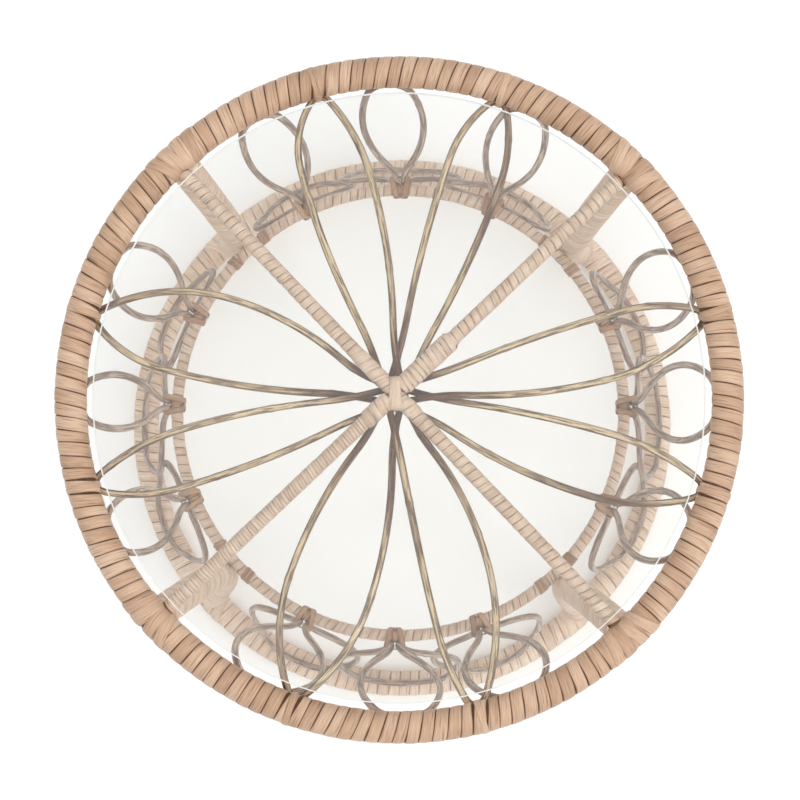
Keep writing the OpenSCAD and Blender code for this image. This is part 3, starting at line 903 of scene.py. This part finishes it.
def crossed_turn(azimuth, way):
    """The path of a turn that ties a loop to the waist ring, crossing its pair over the canes."""
    radial, along = spot(azimuth, 1.0), spot(azimuth + 90, 1.0)

    def lash(x, z):
        share = float(ease((x + WAIST_TUBE) / (2 * WAIST_TUBE)))
        y = way * z / (WAIST_TUBE + STRIP_T) * (LASH_IN * (1 - share) + LASH_OUT * share)
        return radial * (WAIST_R + x) + along * y + [0, 0, WAIST_Z + z]

    # The second turn of a pair lies over the first
    high = WAIST_TUBE + 0.6 * MM + 0.5 * MM * (way > 0)
    far = NECK_R - WAIST_R + CANE_R + 0.2 * MM
    return rounded_path(-WAIST_TUBE - STRIP_T, far, -high, high, 2.4 * MM, lash, steps=8)


def waist_lashings(rng):
    """At each side loop, four turns round the waist ring under two turns that cross."""
    parts = Parts()
    for n, (azimuth, *_) in enumerate(SIDE_LOOPS):
        centre = azimuth / 360 * waist_route.length
        for k in range(4):
            off = (k - 1.5) * 3.3 * MM + rng.uniform(-0.3, 0.3) * MM
            slant, tone = rng.uniform(-1, 1) * MM, rng.uniform(0.1, 0.9)
            turn = band(
                waist_route, centre + off, 3.1 * MM, slant, WAIST_TUBE, STRIP_T, tone, 700 + 10 * n + k,
                steps=24, along0=n * 0.31 + k * 0.07,
            )
            parts.add(*turn)
        middle = spot(azimuth, WAIST_R + 3 * MM, WAIST_Z)
        for way in (-1, 1):
            path, tone = crossed_turn(azimuth, way), rng.uniform(0.1, 0.9)
            along = spot(azimuth + 90, 1.0)
            parts.add(*ribbon(path, LASH_W, LASH_T, middle, along, tone, along0=n * 0.17 + way))
    parts.make("waist_lashings", TIE, "tie_peel", "waist_ties")


def leg_waist_lashings(rng):
    """Three turns round the waist ring on each side of each leg."""
    parts = Parts()
    for n, azimuth in enumerate(LEG_AZ):
        for side in (-1, 1):
            for k in range(3):
                centre = (azimuth + side * 5) / 360 * waist_route.length + (k - 1) * 3.2 * MM
                turn = band(
                    waist_route, centre, 3.0 * MM, side * 0.8 * MM, WAIST_TUBE, STRIP_T,
                    rng.uniform(0.1, 0.9), 800 + 10 * n + k, steps=24, along0=n * 0.23 + k * 0.09 + side,
                )
                parts.add(*turn)
    parts.make("leg_waist_lashings", TIE, "tie_peel", "leg_waist_ties")


PETAL_TIE_W = 6.2 * MM


def petal_lashings(rng):
    """At each petal's end, a turn round the top ring and a ribbon round the cane."""
    parts = Parts()
    upright = np.array([0, 0, 1])
    for n, azimuth in enumerate(PETAL_AZ):
        centre = math.radians(azimuth) * RING_R
        slant, tone = rng.uniform(-0.8, 0.8) * MM, rng.uniform(0.2, 0.8)
        turn = band(
            top_route, centre, PETAL_TIE_W, slant, POLE_R - 0.5 * MM, STRIP_T, tone, 900 + n,
            steps=44, along0=n * 0.37,
        )
        parts.add(*turn)
        radial, along = spot(azimuth, 1.0), spot(azimuth + 90, 1.0)
        tip = spot(azimuth, PETAL_LEN, PETAL_TIP_Z)
        around = []
        for k in range(28):
            a = 2 * math.pi * k / 28
            around.append(tip + (CANE_R + 0.3 * MM) * (math.cos(a) * radial + math.sin(a) * upright))
        tone = rng.uniform(0.2, 0.8)
        parts.add(*ribbon(around, PETAL_TIE_W, 0.9 * MM, tip, along, tone, along0=n * 0.41))
    parts.make("petal_lashings", PEEL, "tie_peel", "petal_ties")


rng = random.Random(77)
waist_lashings(rng)
leg_waist_lashings(rng)
petal_lashings(rng)

# The turns over a ring where a leg meets it: each one's place along the ring, width and slant, in mm
JOINT_TURNS = [(-17, 11, -3.5), (-7, 12, -1.5), (4.5, 12, 2.5), (15, 11, 4.5)]


def joint_strips(name, node, route, material, seed):
    """Extra turns of peel that fan out over a ring where each leg meets it."""
    parts = Parts()
    draw = random.Random(seed)
    for n, azimuth in enumerate(LEG_AZ):
        centre = math.radians(azimuth) * RING_R
        for k, (off, width, slant) in enumerate(JOINT_TURNS):
            turn = band(
                route, centre + off * MM, width * MM, slant * MM, POLE_R - 0.4 * MM,
                (1.1 + 0.25 * (k % 2)) * MM, draw.uniform(0.15, 0.85), seed + 10 * n + k,
                steps=40, along0=n * 0.29 + k * 0.11,
            )
            parts.add(*turn)
    parts.make(name, material, "cane_peel", node)


joint_strips("top_joint_peel", "leg_top_bindings", top_route, PEEL, 1001)
joint_strips("foot_joint_peel", "leg_foot_bindings", foot_route, PEEL_PALE, 1101)


def hub_strap():
    """Two ribbons round the crossing of the poles, one over the other and slightly askew."""
    low, high = (np.array(corner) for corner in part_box("hub_binding"))
    half_y = (high[1] - low[1]) / 2 - STRAP_T
    top, bottom = high[2] - 0.75 * MM, low[2] + STRAP_T
    parts = Parts()
    for k, (off, width, tilt) in enumerate(((-1.3, 7.5, 0.06), (2.2, 6.5, -0.05))):

        def strap(y, z, off=off, tilt=tilt):
            return np.array([HUB[0] + off * MM + tilt * y, HUB[1] + y, z])

        path = rounded_path(-half_y, half_y, bottom, top - k * 0.1 * MM, 5 * MM, strap)
        middle, tone = (low + high) / 2, 0.45 + 0.2 * k
        parts.add(*ribbon(path, width * MM, STRAP_T, middle, (1, 0, 0), tone, along0=k * 0.5))
    parts.make("hub_strap", PEEL_FINE, "cane_peel", "hub_binding")


hub_strap()

# ---- Glass ----------------------------------------------------------------------------------

EDGE_ROUND = 0.8 * MM
AROUND = 256


def glass_edge():
    """The (radius, height) of points down the disc's rounded edge."""
    radius = (GLASS_HIGH[0] - GLASS_LOW[0]) / 2
    out = []
    for z, first in ((GLASS_HIGH[2] - EDGE_ROUND, 90), (GLASS_LOW[2] + EDGE_ROUND, 0)):
        for k in range(7):
            a = math.radians(first - 15 * k)
            out.append((radius - EDGE_ROUND + EDGE_ROUND * math.cos(a), z + EDGE_ROUND * math.sin(a)))
    return out


def glass_disc():
    """The loose glass: two flat faces, each a fan of triangles, and a frosted round edge."""
    verts, faces = [(0, 0, GLASS_HIGH[2]), (0, 0, GLASS_LOW[2])], []
    edge = glass_edge()
    for r, z in edge:
        for k in range(AROUND):
            a = 2 * math.pi * k / AROUND
            verts.append((r * math.cos(a), r * math.sin(a), z))
    for j in range(len(edge) - 1):
        a, b = 2 + j * AROUND, 2 + (j + 1) * AROUND
        for k in range(AROUND):
            k2 = (k + 1) % AROUND
            faces.append((a + k, b + k, b + k2, a + k2))
    edge_faces, last = len(faces), 2 + (len(edge) - 1) * AROUND
    for k in range(AROUND):
        k2 = (k + 1) % AROUND
        faces.append((0, 2 + k, 2 + k2))
        faces.append((1, last + k2, last + k))
    disc = add_piece("glass_disc", verts, faces, [GLASS, GLASS_EDGE], body="glass")
    for k, face in enumerate(disc.data.polygons):
        face.material_index = 1 if k < edge_faces else 0
        face.use_smooth = k < edge_faces
    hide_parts("glass_top")


glass_disc()

# ---- CAD nodes that stay --------------------------------------------------------------------

# The material of each node whose name starts like this
KEPT = {
    "top_ring_pole": SHADED,
    "bottom_ring_pole": PALE_POLE,
    "waist_ring_cane": POLE,
    "leg_pole_": PALE_POLE,
    "long_cross_pole": POLE,
    "half_cross_pole_": POLE,
    "leg_screws": STEEL,
    "waist_screws": STEEL,
    "cross_pole_nails": STEEL,
    "side_loop_brads": STEEL,
    "glide_nails": STEEL,
    "floor_glides": NYLON,
}
for name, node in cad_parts.items():
    for start, material in KEPT.items():
        if name.startswith(start):
            node.data.materials.clear()
            node.data.materials.append(material)

# ---- Floor, light and camera ----------------------------------------------------------------

FLOOR_HALF = 40.0
FLOOR_GLOW = 0.12
SKY_STRENGTH = 0.7


def floor_material():
    """Nearly white, matt, and faintly lit from within, like a studio's sweep."""
    m = Shader("floor")
    place = m.node("ShaderNodeTexCoord").outputs["Object"]
    faint = m.noise(place, (3, 3, 3))
    tones = [(0.3, (240, 240, 240)), (0.7, (243, 243, 243))]
    m.link(m.ramp(faint, tones), m.base.inputs["Base Color"])
    m.base.inputs["Roughness"].default_value = 0.9
    m.base.inputs["Emission Color"].default_value = (1, 1, 1, 1)
    m.base.inputs["Emission Strength"].default_value = FLOOR_GLOW
    return m.material


def add_floor():
    """A wide floor under the table, for the picture only."""
    mesh = bpy.data.meshes.new("floor")
    corners = [(x * FLOOR_HALF, y * FLOOR_HALF, 0) for x, y in ((-1, -1), (1, -1), (1, 1), (-1, 1))]
    mesh.from_pydata(corners, [], [(0, 1, 2, 3)])
    mesh.materials.append(floor_material())
    floor = bpy.data.objects.new("floor", mesh)
    bpy.context.scene.collection.objects.link(floor)


def white_surroundings():
    """An even white all round, as in a studio."""
    world = bpy.data.worlds.new("studio")
    world.use_nodes = True
    sky = world.node_tree.nodes["Background"]
    sky.inputs["Color"].default_value = (1.0, 1.0, 1.0, 1.0)
    sky.inputs["Strength"].default_value = SKY_STRENGTH
    bpy.context.scene.world = world


def aim(obj, place, target, up=(0, 1, 0)):
    """Puts a lamp or camera at a place, looking at target, with its top towards up."""
    back = unit(np.array(place, float) - np.array(target, float))
    right = unit(np.cross(up, back))
    axes = np.eye(4)
    axes[:3, :4] = np.column_stack([right, np.cross(back, right), back, place])
    obj.matrix_world = Matrix(axes.tolist())


def area_light(name, place, target, size, power, mirrored=True):
    """A square softbox. Where it isn't mirrored, the glass shows no reflection of it."""
    light = bpy.data.lights.new(name, "AREA")
    light.shape = "SQUARE"
    light.size = size
    light.energy = power
    lamp = bpy.data.objects.new(name, light)
    aim(lamp, place, target)
    lamp.visible_glossy = mirrored
    bpy.context.scene.collection.objects.link(lamp)


def add_camera(place, target, lens):
    """A camera at a place, looking at target, with a lens of that many mm."""
    camera = bpy.data.cameras.new("camera")
    camera.sensor_width = 36
    camera.lens = lens
    eye = bpy.data.objects.new("camera", camera)
    aim(eye, place, target)
    bpy.context.scene.collection.objects.link(eye)
    bpy.context.scene.camera = eye


add_floor()
white_surroundings()
area_light("overhead", (0.25, -0.2, 3.2), (0.25, -0.2, 0.3), size=3.2, power=55, mirrored=False)
area_light("from_the_right", (2.6, -1.4, 1.8), (0, 0, 0.3), size=1.8, power=24)
# Almost straight down, 4.4 degrees off upright, from 1.46 m above the top ring
add_camera((0.0118, -0.1171, 1.8942), (0.001, -0.0045, TOP_Z), lens=75.62)
bpy.context.scene.view_settings.view_transform = "Standard"
